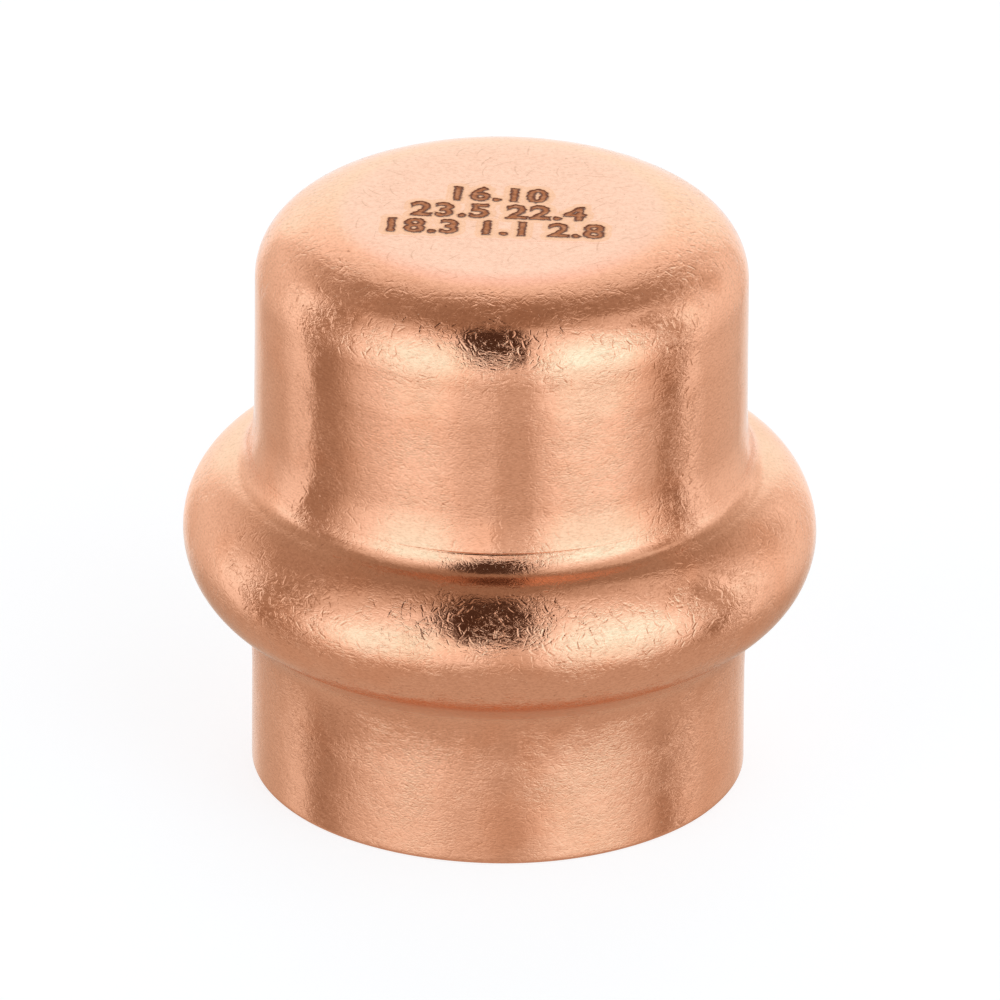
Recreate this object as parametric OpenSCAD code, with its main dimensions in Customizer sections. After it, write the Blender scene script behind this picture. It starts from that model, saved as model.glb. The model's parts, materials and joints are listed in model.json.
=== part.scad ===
// Press-connect end cap for copper tube.
//
// The cap is one seamless copper shell of constant wall, drawn closed at one end
// and rolled out into a bead near the mouth. The bead is the groove of a rubber
// sealing ring. The tube is pushed in past the ring, and a press tool then closes
// its jaws on both sides of the bead.
//
// The origin is the centre of the mouth, and +Z points towards the closed end.

/* [Tube and socket] */
// Outside diameter of the tube that the cap closes
tube_d = 15.88; // [12:0.01:22]
// Gap between the tube and the socket wall, on each side
tube_gap = 0.11; // [0.05:0.01:0.2]
// Height of the straight socket wall between the flare and the rounded end
socket_h = 5.25; // [1:0.1:12]

/* [Shell] */
// Thickness of the copper, the same all over
wall = 1.1; // [0.8:0.05:1.4]
// Height of the guide skirt's straight wall, from the mouth up
skirt_h = 3.76; // [1:0.1:10]
// Outside radius of the rounded edge round the closed end
end_edge_r = 2.2; // [1.6:0.1:4]
// Outside radius of the gentler curve between the rounded edge and the flat of the end
end_dome_r = 6; // [4:0.5:9]
// Angle up the rounded edge, from level, at which the gentler curve takes over
end_dome_angle = 60; // [55:1:75]

/* [Mouth] */
// Rounding on the outside edge of the mouth
mouth_edge_r = 0.15; // [0.05:0.01:0.3]
// Height of the lead-in cone inside the mouth
lead_in_h = 0.3; // [0.1:0.05:0.8]
// Width of the lead-in cone inside the mouth
lead_in_w = 0.2; // [0.1:0.05:0.3]

/* [Sealing ring] */
// Diameter of the ring's round section
ring_section = 2.79; // [2.2:0.01:3.6]
// How far the ring stands into the bore, to grip the tube
ring_nip = 0.22; // [0.1:0.01:0.4]
// Clearance between the ring and the crown of its groove
ring_gap = 0.03; // [0.02:0.01:0.1]
// How much rounder the groove is than the ring's section, as a radius
groove_room = 0.455; // [0.2:0.005:0.8]

/* [Bead] */
// Outside radius of the skirt's gentle flare below the sweep
skirt_flare_r = 14; // [6:0.5:20]
// Slope of the skirt's flare where it meets the sweep, in degrees from upright
skirt_flare_angle = 7; // [2:1:12]
// Outside radius of the sweep from the skirt's flare into the bead
sweep_r = 1.78; // [1:0.02:3]
// Outside radius of the tight crease above the bead
crease_r = 0.9; // [0.4:0.05:2]
// Outside radius of the socket's flare, between the crease and the straight wall
socket_flare_r = 6.6; // [3:0.1:9]
// Slope of the socket's flare where it leaves the crease, in degrees from upright
socket_flare_angle = 15; // [8:1:25]

/* [Hidden] */

// Facets round the axis, and the angle of each step along an outline's arc
$fn = 96;
arc_step = 4;

// Radii of the two straight walls, the skirt's and the socket's alike
bore_r = tube_d / 2 + tube_gap;
outer_r = bore_r + wall;

// The ring lies against the crown of the groove, and the bead is rolled round it
ring_r = ring_section / 2;
groove_r = bore_r + ring_section + ring_gap - ring_nip;
ring_centre_r = groove_r - ring_gap - ring_r;
bead_r = ring_r + groove_room + wall;
bead_centre_r = groove_r + wall - bead_r;

// How far out of the straight walls the centres of the sweep and the crease lie
sweep_out = skirt_flare_r - (skirt_flare_r - sweep_r) * cos(skirt_flare_angle);
crease_out = socket_flare_r - (socket_flare_r - crease_r) * cos(socket_flare_angle);

// Angles down and up the bead, from level, at which the sweep and the crease touch it
bead_low = acos((outer_r + sweep_out - bead_centre_r) / (bead_r + sweep_r));
bead_high = acos((outer_r + crease_out - bead_centre_r) / (bead_r + crease_r));

// Heights of the arcs' centres, stacked from the mouth up
sweep_z = skirt_h + (skirt_flare_r - sweep_r) * sin(skirt_flare_angle);
bead_z = sweep_z + (bead_r + sweep_r) * sin(bead_low);
crease_z = bead_z + (bead_r + crease_r) * sin(bead_high);
socket_flare_z = crease_z + (socket_flare_r - crease_r) * sin(socket_flare_angle);
end_edge_z = socket_flare_z + socket_h;
end_dome_z = end_edge_z - (end_dome_r - end_edge_r) * sin(end_dome_angle);
cap_h = end_dome_z + end_dome_r;

// Centres of the arcs, which the outside and the inside of the wall share
skirt_flare_centre = [outer_r + skirt_flare_r, skirt_h];
sweep_centre = [outer_r + sweep_out, sweep_z];
bead_centre = [bead_centre_r, bead_z];
crease_centre = [outer_r + crease_out, crease_z];
socket_flare_centre = [outer_r + socket_flare_r, socket_flare_z];
end_edge_centre = [outer_r - end_edge_r, end_edge_z];
end_dome_centre = [outer_r - end_edge_r - (end_dome_r - end_edge_r) * cos(end_dome_angle), end_dome_z];

// Points along an arc, after its start, which the line before it has reached
function arc(centre, radius, from, to) =
    let (steps = ceil(abs(to - from) / arc_step))
    [for (i = [1 : steps])
        let (angle = from + (to - from) * i / steps)
        centre + radius * [cos(angle), sin(angle)]];

function reversed(points) = [for (i = [len(points) - 1 : -1 : 0]) points[i]];

// The wall's line from the top of the straight skirt to the axis, at a depth into
// the copper: an arc that bulges out shrinks with depth, and a hollow one grows
function wall_line(depth) = concat(
    [[outer_r - depth, skirt_h]],
    arc(skirt_flare_centre, skirt_flare_r + depth, 180, 180 - skirt_flare_angle),
    arc(sweep_centre, sweep_r + depth, 180 - skirt_flare_angle, 180 - bead_low),
    arc(bead_centre, bead_r - depth, -bead_low, 0),
    arc(bead_centre, bead_r - depth, 0, bead_high),
    arc(crease_centre, crease_r + depth, 180 + bead_high, 180 + socket_flare_angle),
    arc(socket_flare_centre, socket_flare_r + depth, 180 + socket_flare_angle, 180),
    [[outer_r - depth, end_edge_z]],
    arc(end_edge_centre, end_edge_r - depth, 0, end_dome_angle),
    arc(end_dome_centre, end_dome_r - depth, end_dome_angle, 90),
    [[0, cap_h - depth]]
);

// The mouth's rounded outside edge, then its lead-in cone
mouth_outside = concat(
    [[outer_r - mouth_edge_r, 0]],
    arc([outer_r - mouth_edge_r, mouth_edge_r], mouth_edge_r, -90, 0)
);
mouth_inside = [[bore_r, lead_in_h], [bore_r + lead_in_w, 0]];

// Copper shell: guide skirt, sweep, bead, crease, flared socket and closed end
module cap_body() {
    color("#dc9c7c")
        rotate_extrude()
            polygon(concat(mouth_outside, wall_line(0), reversed(wall_line(wall)), mouth_inside));
}

// Rubber ring, seated in the bead
module sealing_ring() {
    color("#202022")
        rotate_extrude()
            translate([ring_centre_r, bead_z])
                circle(r = ring_r);
}

cap_body();
sealing_ring();
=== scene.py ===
import json
import math
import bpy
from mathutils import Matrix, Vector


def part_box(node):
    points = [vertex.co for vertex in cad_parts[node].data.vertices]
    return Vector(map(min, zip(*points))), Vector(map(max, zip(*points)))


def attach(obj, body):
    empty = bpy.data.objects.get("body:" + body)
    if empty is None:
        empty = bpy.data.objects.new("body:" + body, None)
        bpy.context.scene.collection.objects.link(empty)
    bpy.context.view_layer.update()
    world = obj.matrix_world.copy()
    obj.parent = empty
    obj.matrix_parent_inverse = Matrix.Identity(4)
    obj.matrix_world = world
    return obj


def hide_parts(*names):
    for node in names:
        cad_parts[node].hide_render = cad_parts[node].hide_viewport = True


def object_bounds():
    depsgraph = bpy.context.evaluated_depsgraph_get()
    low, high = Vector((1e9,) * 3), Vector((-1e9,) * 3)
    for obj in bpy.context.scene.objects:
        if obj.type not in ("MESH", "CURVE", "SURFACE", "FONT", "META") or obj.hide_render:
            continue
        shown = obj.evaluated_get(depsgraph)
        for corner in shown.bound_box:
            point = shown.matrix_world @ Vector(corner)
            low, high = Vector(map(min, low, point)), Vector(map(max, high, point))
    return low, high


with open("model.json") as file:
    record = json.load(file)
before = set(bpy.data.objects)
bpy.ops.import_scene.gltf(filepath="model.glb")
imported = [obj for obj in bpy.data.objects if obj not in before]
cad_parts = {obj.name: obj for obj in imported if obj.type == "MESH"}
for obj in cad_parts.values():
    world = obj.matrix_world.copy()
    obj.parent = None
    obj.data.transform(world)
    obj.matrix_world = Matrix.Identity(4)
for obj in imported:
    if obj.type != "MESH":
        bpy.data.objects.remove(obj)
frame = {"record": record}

from types import SimpleNamespace

import bpy
import numpy as np
from bpy.props import FloatProperty, FloatVectorProperty, IntProperty, PointerProperty
from bpy.types import Operator, Panel, PropertyGroup
from mathutils import Matrix, Vector

bl_info = {
    "name": "Press-Connect Pipe Cap",
    "version": (1, 0, 0),
    "blender": (4, 5, 0),
    "location": "View3D > Sidebar > Pipe Cap",
    "description": "Drawn copper end cap with its sealing ring, and the light tent it stands in",
    "category": "Object",
}

# Boxes and sizes in metres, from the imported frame.
MM = 0.001
CAD_LOW, CAD_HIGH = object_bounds()
CAP_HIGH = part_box("cap_body")[1]
RING_LOW, RING_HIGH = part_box("sealing_ring")
SEAL_R = (RING_HIGH.z - RING_LOW.z) / 2
BEAD_Z = (RING_HIGH.z + RING_LOW.z) / 2
MOUNTS = {mount["name"]: mount for mount in frame["record"]["mounts"]}
BORE_R = MOUNTS["tube_socket"]["dims"]["r_mm"] * MM

# How finely the copper and the ring are made.
OUTLINE_STEP = 0.15 * MM
RING_TURNS = 256
RING_STEPS = 96

# The drawn copper's random hills, and the ridge where the halves of the ring's mould met, with its
# width as an angle round the section.
RIPPLE_LENGTHS = (3 * MM, 9 * MM)
RIPPLE_SEED = 7
FLASH = 0.025 * MM
FLASH_WIDTH = 0.05

# The size mark's digits, the sloping border of its sheet, and the attribute that holds the distance from
# each of its points to the nearest stroke.
DIGIT_SPACING = 1.12
CURVE_STEPS = 3
MARK_BORDER_CELLS = 3
STROKE_DISTANCE = "stroke_distance"


# ---------------------------------------------------------------- settings

class CapSizes(PropertyGroup):
    wall: FloatProperty(
        name="Wall", description="Thickness of the copper",
        default=1.1 * MM, unit="LENGTH", subtype="DISTANCE")
    groove_room: FloatProperty(
        name="Groove room",
        description="How much rounder the bead is than the ring inside it, as a radius",
        default=0.455 * MM, unit="LENGTH", subtype="DISTANCE")
    skirt_flare_r: FloatProperty(
        name="Skirt flare", description="Outside radius of the skirt's gentle flare below the sweep",
        default=14 * MM, unit="LENGTH", subtype="DISTANCE")
    skirt_flare_angle: FloatProperty(
        name="Skirt flare slope",
        description="Slope of the skirt's flare where it meets the sweep, from upright",
        default=math.radians(7), unit="ROTATION", subtype="ANGLE")
    sweep_r: FloatProperty(
        name="Sweep", description="Outside radius of the sweep from the skirt's flare into the bead",
        default=1.78 * MM, unit="LENGTH", subtype="DISTANCE")
    crease_r: FloatProperty(
        name="Crease", description="Outside radius of the tight crease above the bead",
        default=0.9 * MM, unit="LENGTH", subtype="DISTANCE")
    socket_flare_r: FloatProperty(
        name="Socket flare",
        description="Outside radius of the flare between the crease and the straight socket",
        default=6.6 * MM, unit="LENGTH", subtype="DISTANCE")
    socket_flare_angle: FloatProperty(
        name="Socket flare slope",
        description="Slope of the socket's flare where it leaves the crease, from upright",
        default=math.radians(15), unit="ROTATION", subtype="ANGLE")
    end_edge_r: FloatProperty(
        name="End edge", description="Outside radius of the rounded edge round the closed end",
        default=2.2 * MM, unit="LENGTH", subtype="DISTANCE")
    end_dome_r: FloatProperty(
        name="End dome",
        description="Outside radius of the gentler curve between the end's edge and its flat",
        default=6 * MM, unit="LENGTH", subtype="DISTANCE")
    end_dome_angle: FloatProperty(
        name="End dome angle",
        description="Angle up the end's edge, from level, at which the gentler curve starts",
        default=math.radians(60), unit="ROTATION", subtype="ANGLE")
    mouth_edge_r: FloatProperty(
        name="Mouth edge", description="Rounding on the outside edge of the mouth",
        default=0.15 * MM, unit="LENGTH", subtype="DISTANCE")
    lead_in_h: FloatProperty(
        name="Lead-in height", description="Height of the lead-in cone inside the mouth",
        default=0.3 * MM, unit="LENGTH", subtype="DISTANCE")
    lead_in_w: FloatProperty(
        name="Lead-in width", description="Width of the lead-in cone inside the mouth",
        default=0.2 * MM, unit="LENGTH", subtype="DISTANCE")
    ripple: FloatProperty(
        name="Ripple",
        description="Height of the slight hills and hollows that drawing leaves in the copper",
        default=0.006 * MM, unit="LENGTH", subtype="DISTANCE")
    spokes: IntProperty(
        name="Spokes", description="Number of steps round the axis", default=288, min=48)


class CopperLook(PropertyGroup):
    bright: FloatVectorProperty(
        name="Copper", description="Colour of the clean copper",
        subtype="COLOR", size=3, default=(0.91, 0.462, 0.29))
    warm: FloatVectorProperty(
        name="Warm copper", description="Colour where the copper has warmed to orange",
        subtype="COLOR", size=3, default=(0.88, 0.405, 0.235))
    # This colour also paints a dark reflection on the front of the roll line.
    pit_and_dark_reflection: FloatVectorProperty(
        name="Pits", description="Colour in the pits and at the bottom of scratches",
        subtype="COLOR", size=3, default=(0.42, 0.17, 0.085))
    pressed: FloatVectorProperty(
        name="Pressed copper", description="Colour of the closed end's flat, which is pinker",
        subtype="COLOR", size=3, default=(0.91, 0.455, 0.315))
    dusty: FloatVectorProperty(
        name="Dusty", description="Colour of the dull copper in the recesses",
        subtype="COLOR", size=3, default=(0.84, 0.52, 0.34))
    etched: FloatVectorProperty(
        name="Etched", description="Brown of the size mark that is etched into the closed end",
        subtype="COLOR", size=3, default=(0.37, 0.088, 0.016))
    burnt: FloatVectorProperty(
        name="Burnt", description="Dark rim of the etched strokes",
        subtype="COLOR", size=3, default=(0.11, 0.012, 0.001))
    scorched: FloatVectorProperty(
        name="Scorched", description="Orange that the etching's heat leaves round the strokes",
        subtype="COLOR", size=3, default=(0.78, 0.33, 0.15))
    edge_tint: FloatVectorProperty(
        name="Edge tint", description="Colour of the gloss at a grazing angle",
        subtype="COLOR", size=3, default=(0.98, 0.90, 0.82))
    roughness: FloatProperty(
        name="Roughness", description="Roughness between the scratches", default=0.055)
    dents: FloatProperty(
        name="Dents", description="Height of the fine wavy dents from tumbling",
        default=0.021 * MM, unit="LENGTH", subtype="DISTANCE")
    peel: FloatProperty(
        name="Peel", description="Height of the wider unevenness, like the skin of an orange",
        default=0.012 * MM, unit="LENGTH", subtype="DISTANCE")
    bead_lean: FloatProperty(
        name="Bead lean", description="How far the light shows the top of the bead to fall away",
        default=0.16 * MM, unit="LENGTH", subtype="DISTANCE")
    left_lean: FloatProperty(
        name="Left lean", description="How much more the bead's top falls away on its left",
        default=0.20 * MM, unit="LENGTH", subtype="DISTANCE")
    start_lean: FloatProperty(
        name="Start lean", description="How far the socket leans in below the rounded end",
        default=0.05 * MM, unit="LENGTH", subtype="DISTANCE")
    end_lean: FloatProperty(
        name="End lean", description="How far the light shows the rounded end to stand up",
        default=0.13 * MM, unit="LENGTH", subtype="DISTANCE")


class MarkLook(PropertyGroup):
    digit_h: FloatProperty(
        name="Digits", description="Height of the digits",
        default=1.2 * MM, unit="LENGTH", subtype="DISTANCE")
    weight: FloatProperty(
        name="Weight", description="How much each stroke is fattened, as a share of the letter size",
        default=0.038)
    row_gap: FloatProperty(
        name="Rows", description="Distance from row to row",
        default=1.42 * MM, unit="LENGTH", subtype="DISTANCE")
    shift: FloatProperty(
        name="Shift", description="How far the middle of the mark lies to the left of the axis",
        default=0.15 * MM, unit="LENGTH", subtype="DISTANCE")
    turn: FloatProperty(
        name="Turn", description="How far the mark is turned clockwise",
        default=math.radians(3.4), unit="ROTATION", subtype="ANGLE")
    margin: FloatProperty(
        name="Margin", description="Width of the warmed copper round the digits",
        default=0.45 * MM, unit="LENGTH", subtype="DISTANCE")
    spacing: FloatProperty(
        name="Spacing", description="Distance between the points that carry the mark",
        default=0.034 * MM, unit="LENGTH", subtype="DISTANCE")
    lift: FloatProperty(
        name="Lift", description="How far the marked copper stands proud of the flat",
        default=0.003 * MM, unit="LENGTH", subtype="DISTANCE")


class RubberLook(PropertyGroup):
    black: FloatVectorProperty(
        name="Rubber", description="Colour of the sealing ring",
        subtype="COLOR", size=3, default=(0.022, 0.022, 0.024))
    roughness: FloatProperty(
        name="Roughness", description="Roughness of the greased rubber", default=0.38)


class StudioLook(PropertyGroup):
    elevation: FloatProperty(
        name="Camera height", description="Angle of the camera above the horizon",
        default=math.radians(26.24), unit="ROTATION", subtype="ANGLE")
    lean: FloatProperty(
        name="Camera lean", description="How far the camera leans to its left",
        default=math.radians(0.53), unit="ROTATION", subtype="ANGLE")
    distance: FloatProperty(
        name="Camera distance", description="Distance from the camera to the cap",
        default=1.5, unit="LENGTH", subtype="DISTANCE")
    view_width: FloatProperty(
        name="View width", description="Width that the camera sees at the cap",
        default=37.1 * MM, unit="LENGTH", subtype="DISTANCE")
    aim_height: FloatProperty(
        name="Aim height", description="Height on the axis that the camera aims at",
        default=10.54 * MM, unit="LENGTH", subtype="DISTANCE")


# ---------------------------------------------------------------- shader maths

class Value:
    """A number that varies over the surface: one socket, with the maths operators as Math nodes."""

    def __init__(self, graph, socket):
        self.graph = graph
        self.socket = socket

    def _math(self, operation, *values):
        return self.graph.add("ShaderNodeMath", {"operation": operation}, dict(enumerate(values)))

    def __add__(self, other):
        return self._math("ADD", self, other)

    def __radd__(self, other):
        return self._math("ADD", other, self)

    def __sub__(self, other):
        return self._math("SUBTRACT", self, other)

    def __rsub__(self, other):
        return self._math("SUBTRACT", other, self)

    def __mul__(self, other):
        return self._math("MULTIPLY", self, other)

    def __rmul__(self, other):
        return self._math("MULTIPLY", other, self)

    def __truediv__(self, other):
        return self._math("DIVIDE", self, other)

    def __rtruediv__(self, other):
        return self._math("DIVIDE", other, self)

    def __pow__(self, other):
        return self._math("POWER", self, other)

    def __neg__(self):
        return self._math("MULTIPLY", self, -1.0)

    def __abs__(self):
        return self._math("ABSOLUTE", self)

    def least(self, other):
        return self._math("MINIMUM", self, other)

    def most(self, other):
        return self._math("MAXIMUM", self, other)


class Graph:
    """A node tree being built. add() makes any node, and the other methods name the common ones."""

    def __init__(self, tree):
        self.tree = tree
        tree.nodes.clear()

    def add(self, kind, settings=None, sockets=None, output=0):
        """Adds a node: its settings first, then a value or a link for each socket named or numbered."""
        node = self.tree.nodes.new(kind)
        for name, setting in (settings or {}).items():
            setattr(node, name, setting)
        for key, value in (sockets or {}).items():
            if isinstance(value, Value):
                self.tree.links.new(value.socket, node.inputs[key])
            elif value is not None:
                node.inputs[key].default_value = value
        return Value(self, node.outputs[output]) if node.outputs else node

    def vector(self, operation, *values, output=0):
        """Vector maths on values or triples."""
        return self.add("ShaderNodeVectorMath", {"operation": operation}, dict(enumerate(values)), output)

    def scaled(self, vector, factor):
        """The vector times a number."""
        return self.add("ShaderNodeVectorMath", {"operation": "SCALE"}, {0: vector, "Scale": factor})

    def split(self, vector):
        """The vector's three numbers."""
        first = self.add("ShaderNodeSeparateXYZ", None, {0: vector})
        outputs = first.socket.node.outputs
        return [Value(self, outputs[axis]) for axis in ("X", "Y", "Z")]

    def smooth(self, value, low, high):
        """Eases from 0 at low to 1 at high, or back if high is the lower."""
        settings = {"interpolation_type": "SMOOTHSTEP", "clamp": True}
        if low < high:
            return self.add("ShaderNodeMapRange", settings, {
                "Value": value, "From Min": low, "From Max": high, "To Min": 0.0, "To Max": 1.0})
        return self.add("ShaderNodeMapRange", settings, {
            "Value": value, "From Min": high, "From Max": low, "To Min": 1.0, "To Max": 0.0})

    def mix_colour(self, factor, first, second):
        """A colour that goes from first at factor 0 to second at factor 1."""
        settings = {"data_type": "RGBA", "clamp_factor": True}
        return self.add("ShaderNodeMix", settings, {"Factor": factor, 6: first, 7: second}, output=2)

    def noise(self, place, per_mm, detail=2.0, bent=0.0):
        """Soft noise between 0 and 1, at that many waves in a millimetre."""
        return self.add("ShaderNodeTexNoise", {"noise_dimensions": "3D"}, {
            "Vector": place, "Scale": per_mm, "Detail": detail, "Roughness": 0.55, "Distortion": bent})

    def ridge(self, value, middle, width):
        """1 where the value is at its middle, easing to 0 at that width on either side."""
        return self.smooth(abs(value - middle), width, 0.0)

    def mix(self, factor, first, second):
        """A number that goes from first at factor 0 to second at factor 1."""
        return self.add("ShaderNodeMix", {"data_type": "FLOAT"}, {"Factor": factor, 2: first, 3: second})


def place_in_mm(graph):
    """The point on the surface, in millimetres in the cap's own frame."""
    point = graph.add("ShaderNodeTexCoord", output=3)
    return graph.scaled(point, 1 / MM)


def rgba(colour):
    """The colour as opaque red, green, blue and alpha."""
    return (*colour, 1.0)


# ---------------------------------------------------------------- meshes

def arc(centre, radius, start, end, step):
    """Points along an arc, after its start: centre + radius * (cos a, sin a), a from start to end."""
    count = max(2, math.ceil(abs(end - start) * radius / step))
    angle = np.linspace(start, end, count + 1)[1:]
    return np.stack([centre[0] + radius * np.cos(angle), centre[1] + radius * np.sin(angle)], 1)


def line(start, end, step):
    """Points along a straight line, after its start."""
    start, end = np.array(start), np.array(end)
    count = max(1, math.ceil(np.linalg.norm(end - start) / step))
    return start + (end - start) * np.linspace(0, 1, count + 1)[1:, None]


def cap_outline(sizes, step):
    """The wall's outline as (radius, height) pairs, from the middle of the closed end down the
    outside, round the mouth and back up the inside to the axis. Both sides of the wall share their
    arcs' centres, so the copper has one thickness all over."""
    wall = sizes.wall
    outer_r = BORE_R + wall
    bead_r = SEAL_R + sizes.groove_room + wall
    bead = (CAP_HIGH.x - bead_r, BEAD_Z)
    skirt_slope, socket_slope = sizes.skirt_flare_angle, sizes.socket_flare_angle
    skirt_r, sweep_r = sizes.skirt_flare_r, sizes.sweep_r
    socket_r, crease_r = sizes.socket_flare_r, sizes.crease_r
    edge_r, dome_r = sizes.end_edge_r, sizes.end_dome_r

    sweep_out = skirt_r - (skirt_r - sweep_r) * math.cos(skirt_slope)
    crease_out = socket_r - (socket_r - crease_r) * math.cos(socket_slope)
    low = math.acos((outer_r + sweep_out - bead[0]) / (bead_r + sweep_r))
    high = math.acos((outer_r + crease_out - bead[0]) / (bead_r + crease_r))
    dome_in = (dome_r - edge_r) * math.cos(sizes.end_dome_angle)
    dome_down = (dome_r - edge_r) * math.sin(sizes.end_dome_angle)

    sweep = (outer_r + sweep_out, bead[1] - (bead_r + sweep_r) * math.sin(low))
    skirt = (outer_r + skirt_r, sweep[1] - (skirt_r - sweep_r) * math.sin(skirt_slope))
    crease = (outer_r + crease_out, bead[1] + (bead_r + crease_r) * math.sin(high))
    socket = (outer_r + socket_r, crease[1] + (socket_r - crease_r) * math.sin(socket_slope))
    dome = (outer_r - edge_r - dome_in, CAP_HIGH.z - dome_r)
    edge = (outer_r - edge_r, dome[1] + dome_down)
    inward = math.pi

    def side(depth, spacing):
        """One side of the wall from the skirt's top to the axis, at that depth into the copper."""
        return np.concatenate([
            [(outer_r - depth, skirt[1])],
            arc(skirt, skirt_r + depth, inward, inward - skirt_slope, spacing),
            arc(sweep, sweep_r + depth, inward - skirt_slope, inward - low, spacing),
            arc(bead, bead_r - depth, -low, high, spacing),
            arc(crease, crease_r + depth, inward + high, inward + socket_slope, spacing),
            arc(socket, socket_r + depth, inward + socket_slope, inward, spacing),
            line((outer_r - depth, socket[1]), (outer_r - depth, edge[1]), spacing),
            arc(edge, edge_r - depth, 0, sizes.end_dome_angle, spacing),
            arc(dome, dome_r - depth, sizes.end_dome_angle, math.pi / 2, spacing),
            line((dome[0], CAP_HIGH.z - depth), (0, CAP_HIGH.z - depth), spacing),
        ])

    rim = sizes.mouth_edge_r
    inner_step = 2 * step
    mouth = np.concatenate([
        line((outer_r, skirt[1]), (outer_r, rim), step),
        arc((outer_r - rim, rim), rim, 0, -math.pi / 2, rim / 4),
        line((outer_r - rim, 0), (BORE_R + sizes.lead_in_w, 0), step),
        line((BORE_R + sizes.lead_in_w, 0), (BORE_R, sizes.lead_in_h), step),
        line((BORE_R, sizes.lead_in_h), (BORE_R, skirt[1]), inner_step),
    ])
    return np.concatenate([side(0, step)[::-1], mouth, side(wall, inner_step)[1:]])


def revolve(outline, spokes):
    """A closed surface of revolution: point (i, j) is (r_i cos a_j, r_i sin a_j, z_i), with a_j going once
    round the axis. The outline starts and ends on the axis, and gets one point at each of those poles."""
    angle = np.arange(spokes) * (2 * math.pi / spokes)
    on_axis = np.zeros(len(outline), bool)
    on_axis[[0, -1]] = True
    rings = outline[~on_axis]
    body = np.stack([
        np.outer(rings[:, 0], np.cos(angle)),
        np.outer(rings[:, 0], np.sin(angle)),
        np.repeat(rings[:, 1:2], spokes, axis=1),
    ], axis=-1).reshape(-1, 3)
    poles = outline[on_axis] @ np.array([(0, 0, 0), (0, 0, 1)])
    i, j = np.meshgrid(np.arange(len(rings) - 1), np.arange(spokes), indexing="ij")
    ring = i * spokes
    after = ring + spokes
    ahead = (j + 1) % spokes
    quads = np.stack([ring + j, after + j, after + ahead, ring + ahead], -1)
    column = np.arange(spokes)
    beside = (column + 1) % spokes
    last = (len(rings) - 1) * spokes
    first_pole = np.full(spokes, len(body))
    last_pole = first_pole + 1
    fans = [
        np.stack([first_pole, column, beside], -1),
        np.stack([last + column, last_pole, last + beside], -1),
    ]
    return np.concatenate([body, poles]), quads.reshape(-1, 4), fans


def torus(centre_r, height, section_r, flash, turns, steps):
    """A ring of round section: (centre_r + s cos b) from the axis and height + s sin b up, with b going
    round the section. s is the section's radius, which a low ridge reaches where the mould's halves met."""
    turn = np.arange(turns) * (2 * math.pi / turns)
    around = np.arange(steps) * (2 * math.pi / steps)
    ridge = flash * np.exp(-(np.sin(around) / FLASH_WIDTH) ** 2)
    radius = section_r - flash + ridge
    out = centre_r + radius * np.cos(around)
    up = height + radius * np.sin(around)
    points = np.stack([
        np.outer(np.cos(turn), out), np.outer(np.sin(turn), out), np.repeat(up[None], turns, axis=0),
    ], axis=-1).reshape(-1, 3)
    i, j = np.meshgrid(np.arange(turns), np.arange(steps), indexing="ij")
    next_i, next_j = (i + 1) % turns, (j + 1) % steps
    quads = np.stack([i * steps + j, next_i * steps + j, next_i * steps + next_j, i * steps + next_j], -1)
    return points, quads.reshape(-1, 4)


def hills(points, wavelengths, seed, count=40):
    """Smooth uneven height of mean 0 and root mean square 1 at each point: a sum of sine waves,
    each with its own random direction and phase and a wavelength in the given range."""
    draw = np.random.default_rng(seed)
    heading = draw.normal(size=(count, 3))
    heading /= np.linalg.norm(heading, axis=1)[:, None]
    length = draw.uniform(*wavelengths, size=count)
    phase = draw.uniform(0, 2 * math.pi, size=count)
    waves = np.sin(points @ (heading / length[:, None]).T * 2 * math.pi + phase)
    return waves.sum(1) * math.sqrt(2 / count)


def text_outline(text, weight):
    """The outline of a row of text as segments (start, end), centred, with digits 1 unit high. It is the
    edges that only one face of the filled text uses. The weight fattens each stroke, on each side."""
    curve = bpy.data.curves.new("digits", "FONT")
    curve.body = text
    curve.offset = weight
    curve.space_character = DIGIT_SPACING
    curve.resolution_u = CURVE_STEPS
    holder = bpy.data.objects.new("digits", curve)
    mesh = bpy.data.meshes.new_from_object(holder)
    points = np.empty(3 * len(mesh.vertices))
    mesh.vertices.foreach_get("co", points)
    points = points.reshape(-1, 3)[:, :2]
    ends = np.empty(2 * len(mesh.edges), int)
    mesh.edges.foreach_get("vertices", ends)
    used = np.empty(len(mesh.loops), int)
    mesh.loops.foreach_get("edge_index", used)
    border = np.bincount(used, minlength=len(mesh.edges)) == 1
    bpy.data.objects.remove(holder)
    bpy.data.curves.remove(curve)
    bpy.data.meshes.remove(mesh)
    low, high = points.min(0), points.max(0)
    points = (points - (low + high) / 2) / (high[1] - low[1])
    return points[ends.reshape(-1, 2)[border]]


def distance_to(outline, points):
    """Distance from each point to the nearest segment, |p - a - t (b - a)| with t held between 0 and 1.
    It is negative inside, where a line to the right crosses the outline an odd number of times."""
    start, end = outline[:, 0], outline[:, 1]
    run = end - start
    away = points[:, None] - start
    foot = np.clip((away * run).sum(-1) / (run ** 2).sum(-1), 0, 1)
    nearest = np.linalg.norm(away - foot[..., None] * run, axis=-1).min(1)
    x, y = points[:, :1], points[:, 1:]
    spans = (start[:, 1] > y) != (end[:, 1] > y)
    rise = np.where(run[:, 1] == 0, 1, run[:, 1])
    crossings = (spans & (x < start[:, 0] + (y - start[:, 1]) * run[:, 0] / rise)).sum(1)
    return np.where(crossings % 2 == 1, -nearest, nearest)


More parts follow.
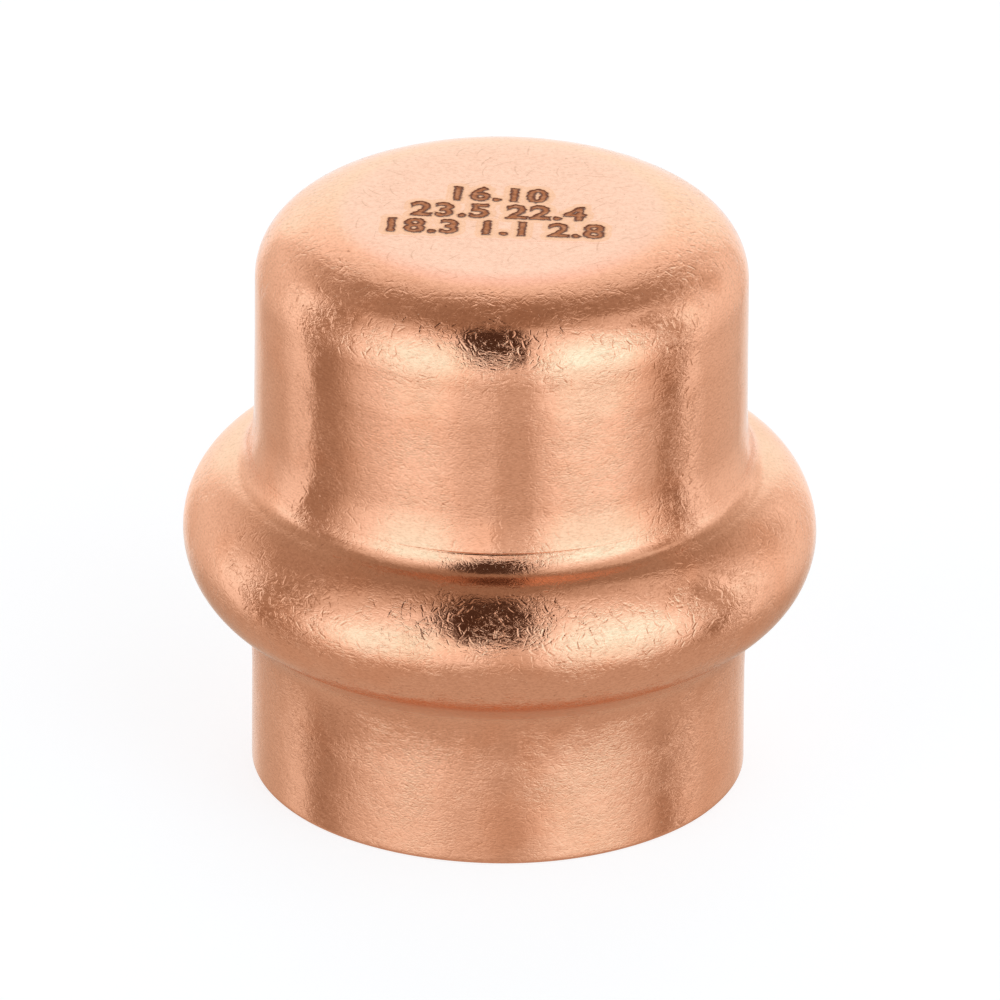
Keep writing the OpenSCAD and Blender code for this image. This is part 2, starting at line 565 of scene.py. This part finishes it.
def pillow(x, y, top, sunk, spread):
    """A thin closed sheet on the grid of x and y: its upper side is level at top, its border slopes down
    to sunk over that spread of cells, so that no edge shows, and its underside is level at sunk."""
    grid_x, grid_y = np.meshgrid(x, y, indexing="ij")
    i, j = np.meshgrid(np.arange(len(x)), np.arange(len(y)), indexing="ij")
    inward = np.minimum(np.minimum(i, len(x) - 1 - i), np.minimum(j, len(y) - 1 - j))
    level = sunk + (top - sunk) * np.clip(inward / spread, 0, 1)
    above = np.stack([grid_x, grid_y, level], -1).reshape(-1, 3)
    below = np.stack([grid_x, grid_y, np.full_like(grid_x, sunk)], -1)[inward > 0]
    upper = np.arange(len(above)).reshape(len(x), len(y))
    lower = upper.copy()
    lower[inward > 0] = len(above) + np.arange(len(below))

    def cells(index):
        return np.stack([index[:-1, :-1], index[1:, :-1], index[1:, 1:], index[:-1, 1:]], -1).reshape(-1, 4)

    return np.concatenate([above, below]), np.concatenate([cells(upper), cells(lower)[:, ::-1]])


def make_piece(name, points, face_groups, material):
    """Puts whole arrays of points and faces into a mesh object that rides on the cap."""
    mesh = bpy.data.meshes.new(name)
    faces = [np.asarray(group) for group in face_groups]
    corners = np.concatenate([group.ravel() for group in faces]).astype(np.int32)
    totals = np.concatenate([np.full(len(group), group.shape[1]) for group in faces]).astype(np.int32)
    starts = np.concatenate([[0], np.cumsum(totals)[:-1]]).astype(np.int32)
    mesh.vertices.add(len(points))
    mesh.vertices.foreach_set("co", np.ascontiguousarray(points, np.float32).ravel())
    mesh.loops.add(len(corners))
    mesh.loops.foreach_set("vertex_index", corners)
    mesh.polygons.add(len(totals))
    mesh.polygons.foreach_set("loop_start", starts)
    mesh.polygons.foreach_set("loop_total", totals)
    mesh.polygons.foreach_set("use_smooth", np.ones(len(totals), bool))
    mesh.update(calc_edges=True)
    mesh.validate()
    mesh.materials.append(material)
    piece = bpy.data.objects.new(name, mesh)
    bpy.context.scene.collection.objects.link(piece)
    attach(piece, "root")
    return piece


# ---------------------------------------------------------------- materials

# Heights on the copper, in millimetres from the bead's middle, and down from the closed end.
CREASE_UP = 2.74
ROLL_LINE_UP = 3.47
SWEEP_DOWN = 2.75
EDGE_DOWN = 2.7

# How worn the copper is all over, and how much more or less in each zone.
WEAR = 0.45
ZONE_WEAR = {
    "rounded": 0.5, "on_skirt": 0.45, "scuffed": 0.35, "low_bead": 0.25, "over_crease": 0.6, "on_flat": -0.2}

# Scratches in millimetres, with how far they bend and the share of the pattern's cells that have one.
DEEP_STROKES = {"seed": 1, "spacing": 0.43, "length": 0.42, "width": 0.070, "bend": 2.0, "share": 0.6}
FINE_STROKES = {"seed": 2, "spacing": 0.27, "length": 0.27, "width": 0.042, "bend": 2.6}
HAIRS = {"seed": 3, "spacing": 0.9, "length": 1.1, "width": 0.045, "bend": 1.4, "share": 0.5}
SEED_STEP = (17.3, 5.9, 11.1)

# The grain lies level, and the rolled copper by the crease much more so.
LEVEL_STRETCH = (0.75, 0.75, 1.9)
ROLLED_STRETCH = (0.1, 0.1, 1.0)

# Depths in millimetres: of the deep strokes all over, in some zones and on rounded copper, and of the rest.
DEEP_DEPTH = 0.0015
ZONE_DEPTH = {"scuffed": 0.0045, "on_bead": 0.0016, "by_crease": 0.0020}
ROUNDED_DEPTH = 0.0056
FINE_DEPTH = 0.0026
ROLLED_DEPTH = 0.0025
ROLL_LINE_DEPTH = 0.0170
ETCHED_DEPTH = 0.028
ETCHED_GRAIN = 0.006
RUBBER_GRAIN = 0.006

# How far the deep strokes darken each zone, how dusty the recesses are, and how much rougher.
ZONE_STROKES = {"off_flat": 0.04, "on_bead": 0.05, "by_crease": 0.05}
ZONE_DUST = {"under_bead": 0.6, "in_crease": 0.15}
ZONE_ROUGHNESS = {"under_bead": 0.32, "in_crease": 0.07, "below_bead": 0.08}

# How far each of these colours the copper, from 0 to 1.
PATCH_STRENGTH = 0.6
FLECK_STRENGTH = 0.45
SPECKLE_STRENGTH = 0.24
GRAIN_STRENGTH = 0.10
HAIR_STRENGTH = 0.30
# Painted dark reflection on the front of the roll line:
PAINTED_REFLECTION_STRENGTH = 0.75
HALO_STRENGTH = 0.75
BURN_STRENGTH = 0.68
PATCHY_BURN = 0.3
RIM_STRENGTH = 0.92

# How much paler the bloom is than the rubber, and how far it shows.
BLOOM_GAIN = 2.2
BLOOM_STRENGTH = 0.5


def surface(graph, sockets):
    """A Principled shader with those sockets, joined to the material's output."""
    shader = graph.add("ShaderNodeBsdfPrincipled", None, sockets)
    graph.add("ShaderNodeOutputMaterial", None, {"Surface": shader})


def scratches(graph, place, normal, seed, spacing, length, width, bend, share=1.0):
    """One short curved scratch in that share of the cells of a Voronoi pattern. Its direction is random in
    the surface, its centre line is y = bend * x * x, and it fades out along its length and across its
    width. Both its direction and its bend come from the cell's own random colour."""
    shifted = graph.vector("ADD", place, tuple(seed * step for step in SEED_STEP))
    cell_settings = {"voronoi_dimensions": "3D", "feature": "F1"}
    cell_sockets = {"Vector": shifted, "Scale": 1 / spacing, "Randomness": 1.0}
    centre = graph.add("ShaderNodeTexVoronoi", cell_settings, cell_sockets, "Position")
    chance = Value(graph, centre.socket.node.outputs["Color"])
    away = graph.vector("SUBTRACT", shifted, centre)
    heading = graph.vector("SUBTRACT", chance, (0.5, 0.5, 0.5))
    along = graph.vector("NORMALIZE", graph.vector("CROSS_PRODUCT", normal, heading))
    across = graph.vector("CROSS_PRODUCT", normal, along)
    x = graph.vector("DOT_PRODUCT", away, along, output=1)
    y = graph.vector("DOT_PRODUCT", away, across, output=1)
    turn, pick, _ = graph.split(chance)
    off_line = abs(y + x * x * (turn - 0.5) * bend)
    drawn = graph.smooth(pick, share + 0.02, share)
    return graph.smooth(off_line, width, 0.0) * graph.smooth(abs(x), length / 2, length / 4) * drawn


def copper_zones(graph, across, height):
    """Where on the cap a point lies: masks from 0 to 1, by its height and its distance across in mm.
    rounded is the bead and the end's edge together, scuffed is an upright band right of the front, and
    roll_line is the line that the rolling left over the crease. The mask that darkens only the front of
    that line, where it faces the camera, is a painted dark reflection."""
    bead_z = BEAD_Z / MM
    top_z = CAP_HIGH.z / MM
    edge_z = top_z - EDGE_DOWN
    sweep_z = bead_z - SWEEP_DOWN
    crease_z = bead_z + CREASE_UP
    line_z = bead_z + ROLL_LINE_UP

    def rise(low, high):
        return graph.smooth(height, low, high)

    on_edge = rise(edge_z - 0.8, edge_z + 0.6) * rise(top_z - 0.05, top_z - 0.4)
    on_bead = rise(bead_z + 2.7, bead_z + 1.8) * rise(bead_z - 3.4, bead_z - 2.0)
    on_flat = rise(top_z - 0.15, top_z - 0.01)
    below_bead = rise(sweep_z + 0.2, sweep_z - 0.3)
    return SimpleNamespace(
        on_edge=on_edge,
        on_bead=on_bead,
        rounded=on_edge.most(on_bead),
        on_flat=on_flat,
        off_flat=1 - on_flat,
        low_bead=rise(bead_z - 0.6, bead_z - 1.8) * rise(sweep_z - 0.5, sweep_z + 0.2),
        below_bead=below_bead,
        on_skirt=below_bead * rise(1.0, 3.5),
        under_bead=graph.ridge(height, sweep_z, 0.9),
        in_crease=graph.ridge(height, crease_z, 0.5),
        over_crease=graph.ridge(height, crease_z + 0.6, 0.45),
        by_crease=graph.smooth(abs(height - line_z - 0.6), 0.9, 0.2),
        scuffed=graph.ridge(across, 6.8, 0.9),
        roll_line=graph.ridge(height, line_z, 0.05) * (graph.smooth(abs(across), 5.0, 1.2) * 0.8 + 0.2),
        # Painted dark reflection: the roll line is darkened only within 2 mm of the front, where it faces
        # the camera.
        painted_roll_reflection=graph.ridge(height, line_z, 0.075) * graph.smooth(abs(across + 0.4), 2.0, 0.8),
        end=rise(edge_z + 0.8, top_z - 0.35),
        start=rise(edge_z - 1.8, edge_z + 0.4),
        bead_top=rise(bead_z, bead_z + 2.8),
        left=graph.smooth(across, 2.0, -7.0),
    )


def by_zone(zones, base, weights):
    """The base plus each zone's mask times its weight."""
    return sum((getattr(zones, zone) * weight for zone, weight in weights.items()), base)


def etching(graph, place):
    """The size mark's burn, dark rim and soft halo, each from 0 to 1, by the distance to its strokes."""
    distance = graph.add("ShaderNodeAttribute", {"attribute_name": STROKE_DISTANCE}, output=2) / MM
    ragged = distance + (graph.noise(place, per_mm=4.5) - 0.5) * 0.20
    burn = graph.smooth(ragged, 0.04, -0.02)
    rim = graph.ridge(ragged, -0.01, 0.10)
    halo = graph.smooth(distance, 0.34, 0.03) * 0.85 + graph.ridge(ragged, 0.25, 0.07) * 0.45
    return burn, rim, halo


def copper_skin(graph, zones, place, look, grain, deep, fine):
    """The height of the copper's skin in millimetres: its unevenness and lean, less dents and strokes."""
    worn = by_zone(zones, WEAR, ZONE_WEAR)
    uneven = graph.smooth(graph.noise(place, per_mm=0.8, detail=1.0), 0.35, 0.65) * 1.1 + 0.4
    peel = graph.noise(place, per_mm=1.8, detail=1.0) * worn * (look.peel / MM)
    dents = grain * worn * uneven * (look.dents / MM)
    rolled_place = graph.vector("MULTIPLY", place, ROLLED_STRETCH)
    rolled = graph.noise(rolled_place, per_mm=7.0) * zones.by_crease
    bead_lean = zones.left * (look.left_lean / MM) + look.bead_lean / MM
    lean = (zones.end * (look.end_lean / MM) - zones.start * (look.start_lean / MM)
            - zones.bead_top * bead_lean)
    deepest = zones.on_edge.most(zones.on_bead * 0.7) * uneven * ROUNDED_DEPTH
    return (peel + lean - dents - deep * deepest - deep * by_zone(zones, DEEP_DEPTH, ZONE_DEPTH)
            - fine * worn * FINE_DEPTH - rolled * ROLLED_DEPTH - zones.roll_line * ROLL_LINE_DEPTH)


def copper_colour(graph, zones, place, level_place, look, grain, deep, hairs):
    """The copper's colour: warm patches, a pinker flat, dark pits, grain and strokes, dull recesses, and a
    painted dark reflection on the front of the roll line.
    """
    patches = graph.smooth(graph.noise(place, per_mm=0.35, detail=3.0), 0.48, 0.68)
    colour = graph.mix_colour(patches * PATCH_STRENGTH, rgba(look.bright), rgba(look.warm))
    colour = graph.mix_colour(zones.on_flat, colour, rgba(look.pressed))
    flecks = graph.smooth(graph.noise(place, per_mm=4.3) + zones.low_bead * 0.05, 0.71, 0.78)
    speckle = graph.smooth(graph.noise(level_place, per_mm=9.0, detail=1.0), 0.38, 0.75)
    dark = (deep * by_zone(zones, 0.0, ZONE_STROKES)
            + hairs * zones.on_flat * HAIR_STRENGTH
            + flecks * FLECK_STRENGTH
            + speckle * (SPECKLE_STRENGTH - zones.on_flat * 0.04)
            + graph.smooth(grain, 0.09, 0.0) * GRAIN_STRENGTH
            # painted dark reflection on the front of the roll line
            + zones.painted_roll_reflection * PAINTED_REFLECTION_STRENGTH)
    colour = graph.mix_colour(dark, colour, rgba(look.pit_and_dark_reflection))
    return graph.mix_colour(by_zone(zones, 0.0, ZONE_DUST), colour, rgba(look.dusty))


def copper_material(name, look, marked=False):
    """Drawn and tumbled copper: fine dents that are deepest on the bead and the rounded end, short curved
    scratches every way, patches that have warmed to orange, and duller recesses that the tumbling didn't
    reach. The marked kind also carries the etched size mark."""
    material = bpy.data.materials.new(name)
    material.use_nodes = True
    graph = Graph(material.node_tree)
    place = place_in_mm(graph)
    normal = graph.add("ShaderNodeNewGeometry", output=1)
    across, _, height = graph.split(place)
    zones = copper_zones(graph, across, height)

    level_place = graph.vector("MULTIPLY", place, LEVEL_STRETCH)
    grain = abs(graph.noise(level_place, per_mm=3.9, bent=1.4) - 0.5)
    deep = scratches(graph, place, normal, **DEEP_STROKES)
    fine = scratches(graph, place, normal, **FINE_STROKES)
    hairs = scratches(graph, place, normal, **HAIRS)
    skin = copper_skin(graph, zones, place, look, grain, deep, fine)
    colour = copper_colour(graph, zones, place, level_place, look, grain, deep, hairs)
    rough = look.roughness + graph.noise(place, per_mm=0.9) * 0.05 + by_zone(zones, 0.0, ZONE_ROUGHNESS)
    if marked:
        burn, rim, halo = etching(graph, place)
        patchy = graph.smooth(graph.noise(place, per_mm=5.0), 0.3, 0.6) * PATCHY_BURN + BURN_STRENGTH
        colour = graph.mix_colour(halo * HALO_STRENGTH, colour, rgba(look.scorched))
        colour = graph.mix_colour(burn * patchy, colour, rgba(look.etched))
        colour = graph.mix_colour(rim * RIM_STRENGTH, colour, rgba(look.burnt))
        rough = rough + burn * 0.25 + halo * 0.05
        skin = skin - burn * ETCHED_DEPTH + burn * graph.noise(place, per_mm=12.0) * ETCHED_GRAIN

    bump = graph.add("ShaderNodeBump", None, {"Strength": 1.0, "Distance": MM, "Height": skin})
    surface(graph, {
        "Base Color": colour,
        "Metallic": 1.0 - zones.under_bead * 0.15,
        "Roughness": rough,
        "Specular Tint": rgba(look.edge_tint),
        "Normal": bump,
    })
    return material


def rubber_material(look):
    """Black moulded rubber with a greased sheen, a fine grain and a faint paler bloom."""
    material = bpy.data.materials.new("seal_rubber")
    material.use_nodes = True
    graph = Graph(material.node_tree)
    place = place_in_mm(graph)
    grain = graph.noise(place, per_mm=9.0, detail=3.0) * RUBBER_GRAIN
    bloom = graph.noise(place, per_mm=0.8, detail=3.0)
    paler = [BLOOM_GAIN * part for part in look.black]
    colour = graph.mix_colour(bloom * BLOOM_STRENGTH, rgba(look.black), rgba(paler))
    bump = graph.add("ShaderNodeBump", None, {"Strength": 1.0, "Distance": MM, "Height": grain})
    surface(graph, {
        "Base Color": colour,
        "Roughness": look.roughness + bloom * 0.2,
        "Normal": bump,
    })
    return material


# ---------------------------------------------------------------- pieces

class PIPECAP_OT_shell(Operator):
    """Makes the copper shell and puts it in the place of the plain one"""
    bl_idname = "pipecap.make_shell"
    bl_label = "Copper Shell"

    def execute(self, context):
        sizes = context.scene.pipecap_sizes
        points, quads, fans = revolve(cap_outline(sizes, OUTLINE_STEP), sizes.spokes)
        outward = points * (1, 1, 0)
        outward /= np.maximum(np.linalg.norm(outward, axis=1), MM)[:, None]
        points = points + outward * hills(points, RIPPLE_LENGTHS, RIPPLE_SEED)[:, None] * sizes.ripple
        material = copper_material("tumbled_copper", context.scene.pipecap_copper)
        shell = make_piece("copper_shell", points, [quads, *fans], material)
        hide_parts("cap_body")
        return {"FINISHED"}


class PIPECAP_OT_ring(Operator):
    """Makes the rubber sealing ring inside the bead"""
    bl_idname = "pipecap.make_ring"
    bl_label = "Sealing Ring"

    def execute(self, context):
        points, quads = torus(RING_HIGH.x - SEAL_R, BEAD_Z, SEAL_R, FLASH, RING_TURNS, RING_STEPS)
        material = rubber_material(context.scene.pipecap_rubber)
        ring = make_piece("rubber_ring", points, [quads], material)
        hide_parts("sealing_ring")
        return {"FINISHED"}


class PIPECAP_OT_mark(Operator):
    """Makes the etched size mark on the closed end: plain numbers, which are the cap's own sizes"""
    bl_idname = "pipecap.make_mark"
    bl_label = "Size Mark"

    def execute(self, context):
        sizes = context.scene.pipecap_sizes
        look = context.scene.pipecap_mark
        bore = 2 * BORE_R / MM
        socket = 2 * (BORE_R + sizes.wall) / MM
        bead = 2 * CAP_HIGH.x / MM
        section = 2 * SEAL_R / MM
        rows = (
            f"{bore:.2f}",
            f"{bead:.1f} {CAP_HIGH.z / MM:.1f}",
            f"{socket:.1f} {sizes.wall / MM:.1f} {section:.1f}",
        )
        outlines = [text_outline(row, look.weight) * look.digit_h for row in rows]
        half_x = max(outline[..., 0].max() for outline in outlines) + look.margin
        half_y = look.row_gap + look.digit_h / 2 + look.margin
        x = np.arange(-half_x, half_x, look.spacing)
        y = np.arange(-half_y, half_y, look.spacing)
        flat = CAP_HIGH.z
        points, faces = pillow(x, y, flat + look.lift, flat - look.lift, MARK_BORDER_CELLS)
        distance = np.min([
            distance_to(outline + (0, (1 - row) * look.row_gap), points[:, :2])
            for row, outline in enumerate(outlines)], axis=0)
        cos, sin = math.cos(look.turn), math.sin(look.turn)
        turned = points @ np.array([(cos, -sin, 0), (sin, cos, 0), (0, 0, 1)])
        material = copper_material("marked_copper", context.scene.pipecap_copper, marked=True)
        mark = make_piece("size_mark", turned - (look.shift, 0, 0), [faces], material)
        layer = mark.data.attributes.new(STROKE_DISTANCE, "FLOAT", "POINT")
        layer.data.foreach_set("value", distance.astype(np.float32))
        return {"FINISHED"}


# ---------------------------------------------------------------- stage

# The camera's sensor in millimetres, and how far the floor reaches each way in metres.
SENSOR_WIDTH = 36.0
FLOOR_REACH = 3.0

# The floor's paper, how it glows to the camera, and the colours of the backdrop and the tent's gap.
PAPER = (0.8, 0.8, 0.8, 1.0)
PAPER_GLOW = (1.45, 1.48, 1.52, 1.0)
GLOW_SHARE = 0.5
WHITE = (1.0, 1.0, 1.0, 1.0)
DARK = (0.080, 0.049, 0.036, 1.0)

# Fades by elevation, as (low, high, value at low, value at high): the bare tent's brightness from its
# sides to overhead, and how every cloth dims towards its top and its foot.
BARE_TENT = (50.0, 76.0, 0.38, 0.26)
TOP_FADE = (12.0, 84.0, 1.0, 0.22)
FOOT_FADE = (-30.0, 14.0, 0.70, 1.0)

# Brightness below the floor, and the elevations between which it takes over.
BELOW = 0.55
BELOW_FROM = (-20.0, -46.0)

# The gap above the low cloth, which the lens looks through and which widens upwards. A side is (azimuth,
# the elevation that this azimuth is for, how far the side leans with each degree of elevation), with its
# softness round that line. The right side leans only above its elevation.
GAP_LEFT = (-13.0, 20.0, -0.58)
GAP_LEFT_SOFTNESS = (-8.0, 4.0)
GAP_RIGHT = (10.5, 32.0, 0.16)
GAP_RIGHT_SOFTNESS = (2.5, -2.5)
GAP_LOW = (15, 7)
GAP_HIGH = (80, 3)

# The red and blue of a brightness are powers of it, and red stops at its limit.
RED_POWER = 0.78
RED_LIMIT = 1.17
BLUE_POWER = 1.2

# The light tent round the cap, in degrees: azimuth 0 is towards the camera and positive to its right.
# Each cloth is (brightness, left, right, low, high), and each of its four edges is (place, softness).
# A cloth covers those before it.
FOOT = (-30, 24)
CLOTHS = (
    # left side, with the dark gap at the tent's corner
    (0.98, (-149, 12), (-119, 14), FOOT, (38, 20)),
    (1.36, (-119, 14), (-98.5, 4), (-33, 16), (32, 18)),
    (0.40, (-98.5, 4), (-72, 12), (-48, 12), (40, 20)),
    (1.25, (-88, 20), (-60, 20), (38, 16), (72, 20)),
    # left lamp cloth, brightest in its middle
    (1.36, (-75, 24), (-4, 5), FOOT, (58, 28)),
    (1.84, (-58, 22), (-25, 18), FOOT, (60, 28)),
    # right lamp cloth
    (1.14, (12.5, 2), (79, 7), FOOT, (84, 20)),
    (2.08, (22, 24), (64, 24), (-32, 28), (84, 20)),
    (1.76, (22, 24), (64, 24), (-18, 12), (4, 12)),
    # right side, with the dark gap at the tent's corner
    (1.50, (62, 16), (108, 16), (42, 18), (82, 14)),
    (0.56, (81, 7), (92, 4), (-44, 12), (45, 20)),
    (0.36, (80, 6), (92, 4), (-27, 8), (-4, 22)),
    (1.40, (92, 4), (108, 8), (-32, 16), (36, 22)),
    (1.18, (108, 8), (148, 14), FOOT, (36, 24)),
    (0.78, (116, 8), (136, 10), (8, 20), (38, 18)),
    # low cloth under the lens
    (0.90, (-4, 5), (12.5, 3), FOOT, (30, 20)),
)
# Behind the cap both sides are alike, and the azimuths have no sign.
REAR_CLOTHS = (
    (1.50, (150, 14), (240, 1), (-30, 16), (58, 13)),
    (1.50, (168, 8), (240, 1), (-30, 16), (58, 13)),
    (1.76, (167, 10), (240, 1), (20, 16), (58, 13)),
)


def studio_world():
    """The tent as the light from every direction. Its dim parts are warm and its bright parts cool, and
    the camera itself sees plain white."""
    world = bpy.data.worlds.new("light_tent")
    world.use_nodes = True
    bpy.context.scene.world = world
    graph = Graph(world.node_tree)
    x, y, z = graph.split(graph.add("ShaderNodeTexCoord", output=0))
    azimuth = graph.add("ShaderNodeMath", {"operation": "ARCTAN2"}, {0: x, 1: -y}) * math.degrees(1)
    elevation = graph.add("ShaderNodeMath", {"operation": "ARCSINE"}, {0: z}) * math.degrees(1)

    def between(value, low, high):
        """1 between two edges, each given as (place, softness), and 0 outside them."""
        (low, low_soft), (high, high_soft) = low, high
        return (graph.smooth(value, low - low_soft / 2, low + low_soft / 2)
                * graph.smooth(value, high + high_soft / 2, high - high_soft / 2))

    def fade(low, high, at_low, at_high):
        """A value that changes evenly with elevation from low to high, and is steady beyond them."""
        return graph.add("ShaderNodeMapRange", {"clamp": True}, {
            "Value": elevation, "From Min": low, "From Max": high, "To Min": at_low, "To Max": at_high})

    upright = fade(*TOP_FADE) * fade(*FOOT_FADE)
    light = fade(*BARE_TENT)
    for heading, cloths in ((azimuth, CLOTHS), (abs(azimuth), REAR_CLOTHS)):
        for level, left, right, low, high in cloths:
            mask = between(heading, left, right) * between(elevation, low, high)
            light = graph.mix(mask, light, upright * level)

    light = graph.mix(graph.smooth(elevation, *BELOW_FROM), light, BELOW)

    left, left_from, left_lean = GAP_LEFT
    right, right_from, right_lean = GAP_RIGHT
    left_edge = left + (elevation - left_from) * left_lean
    right_edge = right + (elevation - right_from).most(0.0) * right_lean
    gap = (graph.smooth(azimuth - left_edge, *GAP_LEFT_SOFTNESS)
           * graph.smooth(azimuth - right_edge, *GAP_RIGHT_SOFTNESS)
           * between(elevation, GAP_LOW, GAP_HIGH))

    red = (light ** RED_POWER).least(RED_LIMIT)
    colour = graph.add("ShaderNodeCombineXYZ", None, {0: red, 1: light, 2: light ** BLUE_POWER})
    colour = graph.mix_colour(gap, colour, DARK)
    lit = graph.add("ShaderNodeBackground", None, {"Color": colour, "Strength": 1.0})
    plain = graph.add("ShaderNodeBackground", None, {"Color": WHITE, "Strength": 1.0})
    seen = graph.add("ShaderNodeLightPath", output="Is Camera Ray")
    shown = graph.add("ShaderNodeMixShader", None, {0: seen, 1: lit, 2: plain})
    graph.add("ShaderNodeOutputWorld", None, {"Surface": shown})


def floor_material():
    """Pale paper that keeps the cap's shadow, and that glows to the camera so that it reads as white."""
    material = bpy.data.materials.new("pale_floor")
    material.use_nodes = True
    graph = Graph(material.node_tree)
    paper = graph.add("ShaderNodeBsdfDiffuse", None, {"Color": PAPER})
    glow = graph.add("ShaderNodeEmission", None, {"Color": PAPER_GLOW, "Strength": 1.0})
    seen = graph.add("ShaderNodeLightPath", output="Is Camera Ray")
    both = graph.add("ShaderNodeMixShader", None, {0: seen * GLOW_SHARE, 1: paper, 2: glow})
    graph.add("ShaderNodeOutputMaterial", None, {"Surface": both})
    return material


class PIPECAP_OT_stage(Operator):
    """Makes the pale floor, the light tent and the camera"""
    bl_idname = "pipecap.make_stage"
    bl_label = "Stage"

    def execute(self, context):
        look = context.scene.pipecap_studio
        mesh = bpy.data.meshes.new("floor")
        corners = [(-1, -1, 0), (1, -1, 0), (1, 1, 0), (-1, 1, 0)]
        mesh.from_pydata(np.array(corners) * FLOOR_REACH, [], [(0, 1, 2, 3)])
        mesh.materials.append(floor_material())
        floor = bpy.data.objects.new("floor", mesh)
        floor.location.z = CAD_LOW.z
        floor.visible_glossy = False
        context.scene.collection.objects.link(floor)

        studio_world()

        lens = bpy.data.cameras.new("camera")
        lens.sensor_width = SENSOR_WIDTH
        lens.lens = lens.sensor_width * look.distance / look.view_width
        lens.clip_end = 2 * look.distance
        camera = bpy.data.objects.new("camera", lens)
        back = Vector((0, -math.cos(look.elevation), math.sin(look.elevation)))
        place = Vector((0, 0, look.aim_height)) + back * look.distance
        tilt = Matrix.Rotation(math.pi / 2 - look.elevation, 4, "X") @ Matrix.Rotation(look.lean, 4, "Z")
        camera.matrix_world = Matrix.Translation(place) @ tilt
        context.scene.collection.objects.link(camera)
        context.scene.camera = camera
        context.scene.view_settings.view_transform = "Standard"
        return {"FINISHED"}


class PIPECAP_PT_panel(Panel):
    """Sizes, looks and the buttons that make each piece"""
    bl_idname = "PIPECAP_PT_panel"
    bl_label = "Pipe Cap"
    bl_space_type = "VIEW_3D"
    bl_region_type = "UI"
    bl_category = "Pipe Cap"

    def draw(self, context):
        layout = self.layout
        for group in GROUPS:
            settings = getattr(context.scene, group)
            box = layout.box()
            for name in settings.bl_rna.properties.keys():
                if name not in ("rna_type", "name"):
                    box.prop(settings, name)
        for operator in OPERATORS:
            layout.operator(operator.bl_idname)


GROUPS = {
    "pipecap_sizes": CapSizes,
    "pipecap_copper": CopperLook,
    "pipecap_rubber": RubberLook,
    "pipecap_mark": MarkLook,
    "pipecap_studio": StudioLook,
}
OPERATORS = (PIPECAP_OT_shell, PIPECAP_OT_ring, PIPECAP_OT_mark, PIPECAP_OT_stage)


def register():
    for kind in (*GROUPS.values(), *OPERATORS, PIPECAP_PT_panel):
        bpy.utils.register_class(kind)
    for name, kind in GROUPS.items():
        setattr(bpy.types.Scene, name, PointerProperty(type=kind))


def unregister():
    for name in GROUPS:
        delattr(bpy.types.Scene, name)
    for kind in reversed((*GROUPS.values(), *OPERATORS, PIPECAP_PT_panel)):
        bpy.utils.unregister_class(kind)


def main():
    register()
    bpy.ops.pipecap.make_shell()
    bpy.ops.pipecap.make_ring()
    bpy.ops.pipecap.make_mark()
    bpy.ops.pipecap.make_stage()


if __name__ == "__main__":
    main()
